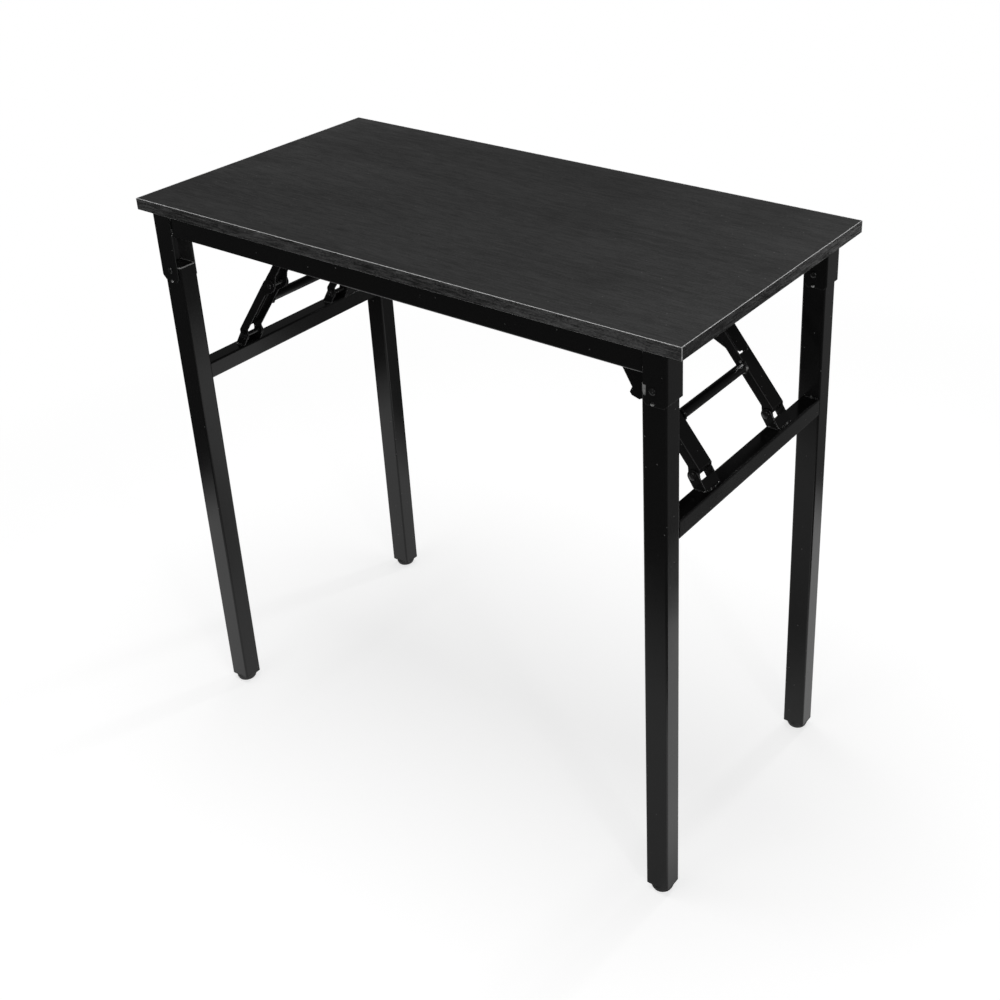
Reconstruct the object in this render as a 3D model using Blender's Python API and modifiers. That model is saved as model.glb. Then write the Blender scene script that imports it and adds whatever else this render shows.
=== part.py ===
"""Folding desk: laminate board on a steel frame, two folding leg sets, knee braces and levelling feet.

Metres, +Z up, floor at z = 0, front edge towards -Y. Each leg set is drawn in a side frame whose +X points
outwards from the desk; the left side frame is turned half a turn about Z.
"""
import math

import bmesh
import bpy
from mathutils import Matrix, Vector

# Board and edge bands
DESK_HEIGHT = 0.750
BOARD_WIDTH = 0.800
BOARD_DEPTH = 0.400
BOARD_THICK = 0.015
BAND_THICK = 0.0012
BAND_ARRIS = 0.0003

# Clearances
BAND_GAP = 0.0001
SEAT_GAP = 0.0003
LEG_GAP = 0.0005
LINK_GAP = 0.0005
PIN_GAP = 0.0003
FOLD_GAP = 0.0007
STACK_GAP = 0.0010
BUTT_GAP = 0.0020

# Steel frame under the board
RAIL_DEEP = 0.020
RAIL_TALL = 0.032
RAIL_TUCK = 0.0045
CROSS_WIDE = 0.020
CROSS_TALL = 0.025
TUBE_WALL = 0.0014
TUBE_ROUND = 0.0022

# Legs, crossbars and feet
RIGHT_END_INSET = 0.025
LEFT_END_INSET = 0.017
LEG_WIDE = 0.030
LEG_DEEP = 0.026
LEG_INSET = 0.012
LEG_HEAD = 0.005
LEG_CHAMFER = 0.004
LEG_FOOT = 0.0115
CROSSBAR_SIZE = 0.023
RIGHT_BAR_DROP = 0.2265
LEFT_BAR_DROP = 0.237
PLUG_FLANGE = 0.002
PLUG_DEPTH = 0.022
GLIDE_RADIUS = 0.0138
STEM_RADIUS = 0.006
STEM_LENGTH = 0.032

# Corner brackets
SHEET = 0.002
CHEEK_WIDE = 0.029
CHEEK_CHAMFER = 0.004
RIGHT_CHEEK_BELOW = 0.017
RIGHT_CHEEK_EASE = 0.004
LEFT_CHEEK_BELOW = 0.0165
LEFT_CHEEK_EASE = 0.009
WING_REACH = 0.059
WING_DROP = 0.095

# Knee braces
BRACE_Y = 0.083
LINK_SHEET = 0.0015
LOWER_WIDE = 0.026
PIVOT_DEPTH = 0.0115
FLANGE_LIP = 0.0005
BEND_ROUND = 0.002
WEB_START = 0.004
WEB_END = 0.078
ANKLE_EAR = 0.0075
KNEE_EAR = 0.009
UPPER_KNEE_EAR = 0.008
UPPER_TOP_EAR = 0.0065
TONGUE_WIDE = 0.020
RIGHT_BRACE_SPAN = 0.148
RIGHT_TOP_DROP = 0.036
LEFT_BRACE_SPAN = 0.135
LEFT_TOP_DROP = 0.047
HINGE_REACH = 0.0235
HINGE_EAR = 0.007
PULL_RADIUS = 0.0065
PULL_ALONG = 0.063
PULL_LIFT = 0.006
ANKLE_RISE = 0.015
SADDLE_SHEET = 0.0015
SADDLE_LEAN = 32.0
SADDLE_EAR = 0.0074
SADDLE_WEB_DROP = 0.0026

# Pins and rivets
PIN_RADIUS = 0.003
PIN_HEAD = 0.0052
HEAD_RISE = 0.0018
RIVET_RADIUS = 0.003
RIVET_HEAD = 0.0042

# Worked out from the sizes above
UNDER_BOARD = DESK_HEIGHT - BOARD_THICK - SEAT_GAP
LEG_FACE_Y = BOARD_DEPTH / 2 - LEG_INSET
LEG_Y = LEG_FACE_Y - LEG_DEEP / 2
RIGHT_LEG_X = BOARD_WIDTH / 2 - RIGHT_END_INSET - LEG_WIDE / 2
LEFT_LEG_X = BOARD_WIDTH / 2 - LEFT_END_INSET - LEG_WIDE / 2
RIGHT_TOP_X = RIGHT_LEG_X - RIGHT_BRACE_SPAN
LEFT_TOP_X = LEFT_LEG_X - LEFT_BRACE_SPAN
RIGHT_PIVOT_DROP = BOARD_THICK + SEAT_GAP + RAIL_TALL + FOLD_GAP + LEG_WIDE / 2
LEFT_PIVOT_DROP = RIGHT_PIVOT_DROP + LEG_WIDE + STACK_GAP
UPPER_WIDE = LOWER_WIDE - 2 * LINK_SHEET - 2 * LINK_GAP

for old in list(bpy.data.objects):
    bpy.data.objects.remove(old, do_unlink=True)

desk = bpy.data.collections.new("folding_desk")
bpy.context.scene.collection.children.link(desk)


def paint(name, colour, roughness, metallic):
    """A plain material for one kind of surface."""
    material = bpy.data.materials.new(name)
    material.use_nodes = True
    shader = material.node_tree.nodes["Principled BSDF"]
    shader.inputs["Base Color"].default_value = (*colour, 1.0)
    shader.inputs["Roughness"].default_value = roughness
    shader.inputs["Metallic"].default_value = metallic
    return material


LAMINATE = paint("laminate", (0.030, 0.029, 0.028), 0.55, 0.0)
BANDING = paint("edge_banding", (0.050, 0.048, 0.046), 0.50, 0.0)
COATED = paint("coated_steel", (0.016, 0.016, 0.017), 0.38, 0.0)
BRIGHT = paint("plated_steel", (0.55, 0.54, 0.52), 0.30, 1.0)
PLASTIC = paint("black_plastic", (0.022, 0.022, 0.022), 0.60, 0.0)


def loft(bm, loops, ring=False):
    """Joins loops of equal length with quads; closes the ends, or joins last to first for a ring."""
    rows = [[bm.verts.new(point) for point in loop] for loop in loops]
    pairs = list(zip(rows, rows[1:]))
    if ring:
        pairs.append((rows[-1], rows[0]))
    for low, high in pairs:
        for i in range(len(low)):
            j = (i + 1) % len(low)
            bm.faces.new((low[i], low[j], high[j], high[i]))
    if not ring:
        bm.faces.new(rows[0])
        bm.faces.new(rows[-1])


def spread(points, axis, level):
    """Lays 2D points in the plane across an axis: X takes (y, z), Y takes (x, z), Z takes (x, y)."""
    if axis == "X":
        return [Vector((level, a, b)) for a, b in points]
    if axis == "Y":
        return [Vector((a, level, b)) for a, b in points]
    return [Vector((a, b, level)) for a, b in points]


def arc(centre, radius, start, end, steps):
    """Points on an arc, degrees, both ends included."""
    turns = [math.radians(start + (end - start) * i / steps) for i in range(steps + 1)]
    return [(centre[0] + radius * math.cos(t), centre[1] + radius * math.sin(t)) for t in turns]


def rounded(wide, tall, radius):
    """Rectangle about the origin with rounded corners."""
    points = []
    for start, sx, sy in ((0, 1, 1), (90, -1, 1), (180, -1, -1), (270, 1, -1)):
        corner = (sx * (wide / 2 - radius), sy * (tall / 2 - radius))
        points += arc(corner, radius, start, start + 90, 3)
    return points


def prism(points, axis, low, high):
    """Solid with one flat outline, as a bmesh."""
    bm = bmesh.new()
    loft(bm, [spread(points, axis, low), spread(points, axis, high)])
    return bm


def tube(wide, tall, wall, radius, axis, low, high):
    """Hollow rectangular tube with open ends."""
    outer = rounded(wide, tall, radius)
    inner = rounded(wide - 2 * wall, tall - 2 * wall, max(radius - wall, 0.0003))
    bm = bmesh.new()
    rings = [spread(outer, axis, low), spread(outer, axis, high)]
    rings += [spread(inner, axis, high), spread(inner, axis, low)]
    loft(bm, rings, ring=True)
    return bm


def turned(bm, profile, axis, centre=(0.0, 0.0, 0.0), steps=16):
    """Adds a round solid from (radius, level) pairs along an axis through a point."""
    loops = []
    for radius, level in profile:
        loop = spread(arc((0.0, 0.0), radius, 0, 360 - 360 / steps, steps - 1), axis, level)
        loops.append([point + Vector(centre) for point in loop])
    loft(bm, loops)


def finish(bm, name, material, where):
    """Turns a bmesh into a placed object of the desk."""
    bmesh.ops.recalc_face_normals(bm, faces=bm.faces)
    bmesh.ops.triangulate(bm, faces=[f for f in bm.faces if len(f.verts) > 4], ngon_method="EAR_CLIP")
    mesh = bpy.data.meshes.new(name)
    bm.to_mesh(mesh)
    bm.free()
    return place(mesh, name, material, where)


def place(mesh, name, material, where):
    """Makes the object for a mesh and puts it in the desk."""
    mesh.materials.clear()
    mesh.materials.append(material)
    for polygon in mesh.polygons:
        polygon.use_smooth = True
    mesh.set_sharp_from_angle(angle=math.radians(32))
    thing = bpy.data.objects.new(name, mesh)
    thing.matrix_world = where
    desk.objects.link(thing)
    return thing


def shape(thing, tool, operation):
    """Applies one exact Boolean with a tool given in the object's own frame."""
    bmesh.ops.recalc_face_normals(tool, faces=tool.faces)
    mesh = bpy.data.meshes.new("tool")
    tool.to_mesh(mesh)
    tool.free()
    cutter = bpy.data.objects.new("tool", mesh)
    cutter.matrix_world = thing.matrix_world
    desk.objects.link(cutter)
    step = thing.modifiers.new("shape", "BOOLEAN")
    step.operation = operation
    step.solver = "EXACT"
    step.object = cutter
    bpy.context.view_layer.update()
    graph = bpy.context.evaluated_depsgraph_get()
    done = bpy.data.meshes.new_from_object(thing.evaluated_get(graph))
    thing.modifiers.remove(step)
    thing.data = done
    bpy.data.objects.remove(cutter, do_unlink=True)
    for polygon in done.polygons:
        polygon.use_smooth = True
    done.set_sharp_from_angle(angle=math.radians(32))


def drill(thing, axis, centre, radius, reach):
    """Round hole right through, centred on a point of the object's own frame."""
    tool = bmesh.new()
    turned(tool, [(radius, -reach), (radius, reach)], axis, centre)
    shape(thing, tool, "DIFFERENCE")


def block(name, material, low, high, arris=0.0):
    """Plain box between two corners, origin at its middle, edges eased by a bevel."""
    middle = [(a + b) / 2 for a, b in zip(low, high)]
    half = [(b - a) / 2 for a, b in zip(low, high)]
    outline = [(-half[0], -half[1]), (half[0], -half[1]), (half[0], half[1]), (-half[0], half[1])]
    thing = finish(prism(outline, "Z", -half[2], half[2]), name, material, Matrix.Translation(middle))
    if arris:
        ease = thing.modifiers.new("arris", "BEVEL")
        ease.width = arris
        ease.segments = 1
        ease.limit_method = "ANGLE"
    return thing


def build_board():
    """Board core with its four glued edge bands."""
    edge = BAND_THICK + BAND_GAP
    half_w, half_d = BOARD_WIDTH / 2, BOARD_DEPTH / 2
    low, high = DESK_HEIGHT - BOARD_THICK, DESK_HEIGHT
    inner = (half_w - edge, half_d - edge)
    block("desktop_board", LAMINATE, (-inner[0], -inner[1], low), (*inner, high))
    for name, sign in (("front", -1), ("rear", 1)):
        y = sorted((sign * half_d, sign * (half_d - BAND_THICK)))
        block(f"edge_band_{name}", BANDING, (-half_w, y[0], low), (half_w, y[1], high), BAND_ARRIS)
    for name, sign in (("left", -1), ("right", 1)):
        x = sorted((sign * half_w, sign * (half_w - BAND_THICK)))
        block(f"edge_band_{name}", BANDING, (x[0], -inner[1], low), (x[1], inner[1], high), BAND_ARRIS)


def cheek_inner(leg_x):
    """Inner edge of a corner bracket's cheeks, in the side frame."""
    return leg_x + LEG_WIDE / 2 + LEG_GAP + SHEET - CHEEK_WIDE


def build_frame():
    """Long rails that the corner brackets close on, and the two cross members between them."""
    left = -cheek_inner(LEFT_LEG_X) - RAIL_TUCK
    right = cheek_inner(RIGHT_LEG_X) + RAIL_TUCK
    for name, sign in (("front", -1), ("rear", 1)):
        spot = Matrix.Translation((0, sign * (LEG_FACE_Y - RAIL_DEEP / 2), UNDER_BOARD - RAIL_TALL / 2))
        body = tube(RAIL_DEEP, RAIL_TALL, TUBE_WALL, TUBE_ROUND, "X", left, right)
        finish(body, f"{name}_rail", COATED, spot)
    half = LEG_FACE_Y - RAIL_DEEP - SEAT_GAP
    for name, x in (("left", -(LEFT_TOP_X - HINGE_REACH)), ("right", RIGHT_TOP_X - HINGE_REACH)):
        middle = x - math.copysign(CROSS_WIDE / 2 + SEAT_GAP, x)
        spot = Matrix.Translation((middle, 0, UNDER_BOARD - CROSS_TALL / 2))
        body = tube(CROSS_WIDE, CROSS_TALL, TUBE_WALL, TUBE_ROUND, "Y", -half, half)
        finish(body, f"{name}_cross_member", COATED, spot)


def channel(wide, sheet, top, low, start, end):
    """Folded U channel along X: web outer face at z = top, flanges hanging to z = low."""
    half = wide / 2
    inside = BEND_ROUND - sheet if BEND_ROUND > sheet else 0.0003
    outer = arc((BEND_ROUND - half, top - BEND_ROUND), BEND_ROUND, 180, 90, 3)
    outer += arc((half - BEND_ROUND, top - BEND_ROUND), BEND_ROUND, 90, 0, 3)
    reach = half - sheet - inside
    inner = arc((reach, top - sheet - inside), inside, 0, 90, 2)
    inner += arc((-reach, top - sheet - inside), inside, 90, 180, 2)
    outline = [(-half, low)] + outer + [(half, low), (half - sheet, low)] + inner + [(sheet - half, low)]
    return prism(outline, "X", start, end)


def build_bracket(name, spot, below, ease, wing_side):
    """Corner bracket: a U that takes the rail end and the leg head, web outwards, open below.

    The cheeks' outer lower corners are cut by ease. One bracket has a wing that lies along the rail.
    """
    half = LEG_DEEP / 2 + LEG_GAP
    out = LEG_WIDE / 2 + LEG_GAP + SHEET
    inn = out - CHEEK_WIDE
    top = UNDER_BOARD - spot.translation.z
    wide = half + SHEET
    outline = [(inn, -wide), (out - BEND_ROUND, -wide)]
    outline += arc((out - BEND_ROUND, BEND_ROUND - wide), BEND_ROUND, -90, 0, 3)[1:]
    outline += arc((out - BEND_ROUND, wide - BEND_ROUND), BEND_ROUND, 0, 90, 3)
    outline += [(inn, wide), (inn, half), (out - SHEET, half), (out - SHEET, -half), (inn, -half)]
    thing = finish(prism(outline, "Z", -below, top), name, COATED, spot)
    cut = CHEEK_CHAMFER
    trim = [(inn - 0.01, top + 0.01), (inn - 0.01, cut - below), (inn, cut - below), (inn + cut, -below)]
    trim += [(out - ease, -below), (out, ease - below), (out + 0.01, ease - below), (out + 0.01, top + 0.01)]
    shape(thing, prism(trim, "Y", -2 * wide, 2 * wide), "INTERSECT")
    if wing_side:
        low = DESK_HEIGHT - WING_DROP - spot.translation.z
        edge = inn - WING_REACH
        lobe = [(inn + 0.006, top - 0.012), (edge, top - 0.022), (edge + 0.0265, low + 0.0125)]
        lobe += [(edge + 0.0235, low + 0.006), (edge + 0.026, low + 0.0025), (edge + 0.0355, low)]
        lobe += [(inn + 0.008, cut - below)]
        face = sorted((wing_side * half, wing_side * wide))
        shape(thing, prism(lobe, "Y", face[0], face[1]), "UNION")
    drill(thing, "Y", (0, 0, 0), RIVET_RADIUS + PIN_GAP, 2 * wide)


def build_leg(name, spot):
    """Hollow leg, origin on its fold axis, head corner cut so that it clears the bracket web."""
    drop = spot.translation.z - LEG_FOOT
    thing = finish(tube(LEG_WIDE, LEG_DEEP, TUBE_WALL, TUBE_ROUND, "Z", -drop, LEG_HEAD), name, COATED, spot)
    out = LEG_WIDE / 2
    corner = [(out - LEG_CHAMFER, LEG_HEAD), (out, LEG_HEAD - LEG_CHAMFER), (out + LEG_CHAMFER, LEG_HEAD)]
    corner += [(out, LEG_HEAD + LEG_CHAMFER)]
    shape(thing, prism(corner, "Y", -LEG_DEEP, LEG_DEEP), "DIFFERENCE")
    drill(thing, "Y", (0, 0, 0), RIVET_RADIUS + PIN_GAP, LEG_DEEP)


def build_foot(corner, spot):
    """End plug with a flange under the tube, and the screwed glide with its origin on the screw axis."""
    under = LEG_FOOT - SEAT_GAP
    inside = 2 * TUBE_WALL + 2 * SEAT_GAP
    flange = rounded(LEG_WIDE, LEG_DEEP, TUBE_ROUND)
    body = rounded(LEG_WIDE - inside, LEG_DEEP - inside, TUBE_ROUND - SEAT_GAP)
    bm = bmesh.new()
    rows = [spread(flange, "Z", under - PLUG_FLANGE), spread(flange, "Z", under)]
    rows += [spread(body, "Z", under), spread(body, "Z", under + PLUG_DEPTH)]
    loft(bm, rows)
    plug = finish(bm, f"{corner}_end_plug", PLASTIC, spot)
    drill(plug, "Z", (0, 0, under), STEM_RADIUS + PIN_GAP, 2 * PLUG_DEPTH)
    tall = under - PLUG_FLANGE - SEAT_GAP
    rim = GLIDE_RADIUS
    profile = [(0.66 * rim, 0.0), (0.88 * rim, 0.18 * tall), (0.98 * rim, 0.5 * tall), (rim, 0.8 * tall)]
    profile += [(0.97 * rim, tall)]
    profile += [(STEM_RADIUS, tall), (STEM_RADIUS, tall + STEM_LENGTH)]
    glide = bmesh.new()
    turned(glide, profile, "Z", steps=24)
    finish(glide, f"{corner}_glide", PLASTIC, spot)


def build_saddle(name, spot):
    """Brace saddle: a leaning U on the crossbar, web outwards; its cheeks carry the brace pivot, the origin.

    Its own +X runs up the lean and +Z outwards; the foot is cut level to sit on the bar.
    """
    half = LOWER_WIDE / 2 + LINK_GAP
    wide = half + SADDLE_SHEET
    ear = SADDLE_EAR
    rise = math.cos(math.radians(SADDLE_LEAN))
    tilt = math.sin(math.radians(SADDLE_LEAN))
    base = SEAT_GAP - ANKLE_RISE
    body = channel(2 * wide, SADDLE_SHEET, ear, -2 * ear, -2 * ANKLE_RISE, 2 * ear)
    thing = finish(body, name, COATED, spot)
    side = arc((0, 0), ear, 90, -90, 10)
    side += [((base + ear * tilt) / rise, -ear), ((base - ear * tilt) / rise, ear)]
    shape(thing, prism(side, "Y", -2 * wide, 2 * wide), "INTERSECT")
    brim = (-SADDLE_WEB_DROP - ear * tilt) / rise
    half -= 0.0002
    window = [(brim, -half), (2 * ear, -half), (2 * ear, half), (brim, half)]
    shape(thing, prism(window, "Z", 0.5 * ear, 2 * ear), "DIFFERENCE")
    drill(thing, "Y", (0, 0, 0), PIN_RADIUS + PIN_GAP, 2 * wide)


def build_lower_link(length):
    """Lower brace link along +X from the ankle pivot, web on the +Z side and cut away towards the knee."""
    low = -KNEE_EAR - 0.004
    bm = channel(LOWER_WIDE, LINK_SHEET, PIVOT_DEPTH, low, -0.02, length + 0.02)
    thing = finish(bm, "lower_link", COATED, Matrix.Identity(4))
    side = [(WEB_START, PIVOT_DEPTH + 0.001), (length - 0.004, PIVOT_DEPTH + 0.001)]
    side += arc((length, 0), KNEE_EAR, 70, -115, 8)
    side += [(length - 0.020, -FLANGE_LIP), (0.012, -FLANGE_LIP)]
    side += arc((0, 0), ANKLE_EAR, -70, -255, 8)
    shape(thing, prism(side, "Y", -LOWER_WIDE, LOWER_WIDE), "INTERSECT")
    half = LOWER_WIDE / 2 - LINK_SHEET - 0.0002
    window = [(WEB_END, -half), (length + 0.03, -half), (length + 0.03, half), (WEB_END, half)]
    shape(thing, prism(window, "Z", 0.5 * PIVOT_DEPTH, 2 * PIVOT_DEPTH), "DIFFERENCE")
    for along in (0, length):
        drill(thing, "Y", (along, 0, 0), PIN_RADIUS + PIN_GAP, LOWER_WIDE)
    return thing


def build_upper_link(length, tongue):
    """Upper brace link along +X from the top pivot to the knee, with a stop tongue past the knee."""
    low = -UPPER_KNEE_EAR - 0.004
    bm = channel(UPPER_WIDE, LINK_SHEET, PIVOT_DEPTH, low, -0.02, length + 0.02)
    thing = finish(bm, "upper_link", COATED, Matrix.Identity(4))
    side = [(0.004, PIVOT_DEPTH + 0.001), (length - 0.002, PIVOT_DEPTH + 0.001)]
    side += arc((length, 0), UPPER_KNEE_EAR, 75, -110, 8)
    side += [(length - 0.018, -FLANGE_LIP), (0.012, -FLANGE_LIP)]
    side += arc((0, 0), UPPER_TOP_EAR, -70, -250, 8)
    shape(thing, prism(side, "Y", -UPPER_WIDE, UPPER_WIDE), "INTERSECT")
    half = TONGUE_WIDE / 2
    tip = length + tongue
    plate = [(length - 0.012, -half), (tip - 0.003, -half), (tip, 0.003 - half), (tip, half - 0.003)]
    plate += [(tip - 0.003, half), (length - 0.012, half)]
    shape(thing, prism(plate, "Z", PIVOT_DEPTH - LINK_SHEET, PIVOT_DEPTH), "UNION")
    for along in (0, length):
        drill(thing, "Y", (along, 0, 0), PIN_RADIUS + PIN_GAP, UPPER_WIDE)
    return thing


def build_hinge(name, spot, top):
    """Top hinge bracket: a U on the side of the cross member, ears round the top pivot at the origin."""
    half = UPPER_WIDE / 2 + LINK_GAP
    wide = half + SHEET
    back = -HINGE_REACH
    out = HINGE_EAR + 0.002
    outline = [(back, -wide), (out, -wide), (out, -half), (back + SHEET, -half), (back + SHEET, half)]
    outline += [(out, half), (out, wide), (back, wide)]
    thing = finish(prism(outline, "Z", -2 * HINGE_EAR, top), name, COATED, spot)
    ear = [(back - 0.01, top - 0.003), (back + 0.008, top - 0.003)] + arc((0, 0), HINGE_EAR, 80, -90, 10)
    ear += [(back - 0.01, -0.4 * HINGE_EAR)]
    shape(thing, prism(ear, "Y", -2 * wide, 2 * wide), "INTERSECT")
    drill(thing, "Y", (0, 0, 0), PIN_RADIUS + PIN_GAP, 2 * wide)


def build_pin(name, spot, radius, head, half):
    """Round pin along Y with a low domed head at both ends; half is half the grip between the heads."""
    dome = ((head, 0.0), (head, 0.35), (0.72 * head, 0.8), (0.3 * head, 1.0))
    end = [(r, half + level * HEAD_RISE) for r, level in dome]
    profile = [(r, -level) for r, level in reversed(end)]
    profile += [(radius, -half), (radius, half)] + end
    bm = bmesh.new()
    turned(bm, profile, "Y")
    finish(bm, name, BRIGHT, spot)


def build_bush(name, spot):
    """Knee bush through the two flanges of an upper link."""
    half = UPPER_WIDE / 2 + 0.3 * LINK_GAP
    bm = bmesh.new()
    turned(bm, [(PIN_RADIUS, -half), (PIN_RADIUS, half)], "Y")
    finish(bm, name, BRIGHT, spot)


def along_frame(start, end, outward):
    """Frame at start with +X to end in the side plane and +Z on the outward side of the line."""
    run = (end - start).normalized()
    normal = Vector((run.z, 0, -run.x))
    if normal.dot(outward) < 0:
        normal = -normal
    across = normal.cross(run)
    turn = Matrix((run, across, normal)).transposed().to_4x4()
    return Matrix.Translation(start) @ turn


def build_side(side, turn, leg_x, pivot_drop, bar_drop, top_x, top_drop, cheek, wing):
    """One leg set with its brackets, feet, crossbar and pair of knee braces."""
    base = Matrix.Rotation(turn, 4, "Z")
    flip = 1 if math.cos(turn) > 0 else -1
    pivot = Vector((leg_x, 0, DESK_HEIGHT - pivot_drop))
    bar_top = DESK_HEIGHT - bar_drop
    bar_inner = leg_x + LEG_WIDE / 2 - CROSSBAR_SIZE
    ankle = Vector((bar_inner, 0, bar_top + ANKLE_RISE))
    top = Vector((top_x, 0, DESK_HEIGHT - top_drop))
    knee = (ankle + top) / 2
    cheek_grip = LEG_DEEP / 2 + LEG_GAP + SHEET + SEAT_GAP
    for y in (-LEG_Y, LEG_Y):
        corner = ("front_" if y * flip < 0 else "rear_") + side
        across = Vector((0, y, 0))
        spot = base @ Matrix.Translation(pivot + across)
        wing_side = 1 if corner == wing else 0
        build_bracket(f"{corner}_corner_bracket", spot, *cheek, wing_side)
        build_leg(f"{corner}_leg", spot)
        build_foot(corner, base @ Matrix.Translation((leg_x, y, 0)))
        build_pin(f"{corner}_leg_pivot_rivet", spot, RIVET_RADIUS, RIVET_HEAD, cheek_grip)
    half = LEG_FACE_Y - LEG_DEEP - SEAT_GAP
    middle = base @ Matrix.Translation((bar_inner + CROSSBAR_SIZE / 2, 0, bar_top - CROSSBAR_SIZE / 2))
    bar = tube(CROSSBAR_SIZE, CROSSBAR_SIZE, TUBE_WALL, TUBE_ROUND, "Y", -half, half)
    finish(bar, f"{side}_crossbar", COATED, middle)

    outward = Vector((1, 0, 0))
    lower_frame = along_frame(ankle, knee, outward)
    upper_frame = along_frame(top, knee, outward)
    lean = math.radians(SADDLE_LEAN)
    saddle_frame = along_frame(ankle, ankle + Vector((-math.sin(lean), 0, math.cos(lean))), outward)
    reach = (knee - ankle).length
    lower = build_lower_link(reach)
    upper = build_upper_link((knee - top).length, reach - WEB_END - BUTT_GAP)
    for y in (-BRACE_Y, BRACE_Y):
        corner = ("front_" if y * flip < 0 else "rear_") + side
        shift = base @ Matrix.Translation((0, y, 0))
        place(lower.data.copy(), f"{corner}_lower_brace", COATED, shift @ lower_frame)
        place(upper.data.copy(), f"{corner}_upper_brace", COATED, shift @ upper_frame)
        build_saddle(f"{corner}_brace_saddle", shift @ saddle_frame)
        build_hinge(f"{corner}_top_hinge", shift @ Matrix.Translation(top), UNDER_BOARD - top.z)
        ankle_spot = shift @ Matrix.Translation(ankle)
        grip = LOWER_WIDE / 2 + LINK_GAP + SADDLE_SHEET + SEAT_GAP
        build_pin(f"{corner}_saddle_pin", ankle_spot, PIN_RADIUS, PIN_HEAD, grip)
        build_bush(f"{corner}_knee_bush", shift @ Matrix.Translation(knee))
    bpy.data.objects.remove(lower, do_unlink=True)
    bpy.data.objects.remove(upper, do_unlink=True)
    rod_half = BRACE_Y + UPPER_WIDE / 2 + LINK_GAP + SHEET + SEAT_GAP
    build_pin(f"{side}_top_hinge_rod", base @ Matrix.Translation(top), PIN_RADIUS, PIN_HEAD, rod_half)
    half = BRACE_Y - LOWER_WIDE / 2 - SEAT_GAP
    ring = [arc((0, 0), r, 0, 342, 19) for r in (PULL_RADIUS, PULL_RADIUS - TUBE_WALL)]
    pull = bmesh.new()
    rows = [spread(ring[0], "Y", -half), spread(ring[0], "Y", half)]
    rows += [spread(ring[1], "Y", half), spread(ring[1], "Y", -half)]
    loft(pull, rows, ring=True)
    held = base @ lower_frame @ Matrix.Translation((PULL_ALONG, 0, PULL_LIFT))
    finish(pull, f"{side}_pull_bar", COATED, held)


build_board()
build_frame()
build_side("right", 0.0, RIGHT_LEG_X, RIGHT_PIVOT_DROP, RIGHT_BAR_DROP, RIGHT_TOP_X, RIGHT_TOP_DROP,
           (RIGHT_CHEEK_BELOW, RIGHT_CHEEK_EASE), "front_right")
build_side("left", math.pi, LEFT_LEG_X, LEFT_PIVOT_DROP, LEFT_BAR_DROP, LEFT_TOP_X, LEFT_TOP_DROP,
           (LEFT_CHEEK_BELOW, LEFT_CHEEK_EASE), None)
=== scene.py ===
"""Looks, camera and light for the folding desk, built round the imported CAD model."""

import math

import bmesh
import bpy
from mathutils import Euler, Matrix, Vector


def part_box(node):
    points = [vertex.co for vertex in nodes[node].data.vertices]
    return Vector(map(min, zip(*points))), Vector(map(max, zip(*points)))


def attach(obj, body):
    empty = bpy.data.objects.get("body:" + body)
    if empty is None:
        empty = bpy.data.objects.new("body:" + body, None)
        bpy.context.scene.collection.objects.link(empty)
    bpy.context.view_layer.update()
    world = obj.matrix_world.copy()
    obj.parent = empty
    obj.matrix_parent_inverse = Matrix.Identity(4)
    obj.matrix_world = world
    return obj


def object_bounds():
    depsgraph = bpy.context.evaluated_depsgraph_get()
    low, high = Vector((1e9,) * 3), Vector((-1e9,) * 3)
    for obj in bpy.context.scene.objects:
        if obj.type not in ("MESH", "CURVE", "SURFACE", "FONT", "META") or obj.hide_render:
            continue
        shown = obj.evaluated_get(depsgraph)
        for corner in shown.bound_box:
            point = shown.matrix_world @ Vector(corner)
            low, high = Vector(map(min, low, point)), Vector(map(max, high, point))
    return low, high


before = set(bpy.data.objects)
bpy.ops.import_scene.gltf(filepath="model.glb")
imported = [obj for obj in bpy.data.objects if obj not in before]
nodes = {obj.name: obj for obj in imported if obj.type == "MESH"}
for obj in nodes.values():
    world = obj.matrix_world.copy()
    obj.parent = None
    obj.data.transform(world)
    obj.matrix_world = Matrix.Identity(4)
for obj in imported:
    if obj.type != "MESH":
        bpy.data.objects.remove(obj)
cad_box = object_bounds()

SIDES = {"left": -1, "right": 1}
ENDS = {"front": -1, "rear": 1}
HALF_WIDTH, HALF_DEPTH = cad_box[1].x, cad_box[1].y


# Material trees. Scales are cells per metre, colours are linear, lengths are metres. A span is the stretch of
# a value that a ramp follows; other pairs are what it is mapped to. Four numbers are a span and such a pair.

NOISE_SPAN = (0.3, 0.7)
FIGURE_SPAN = (0.35, 0.65)
SPECK_EDGE = 0.02


def grey(level):
    """A neutral colour."""
    return (level, level, level)


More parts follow.
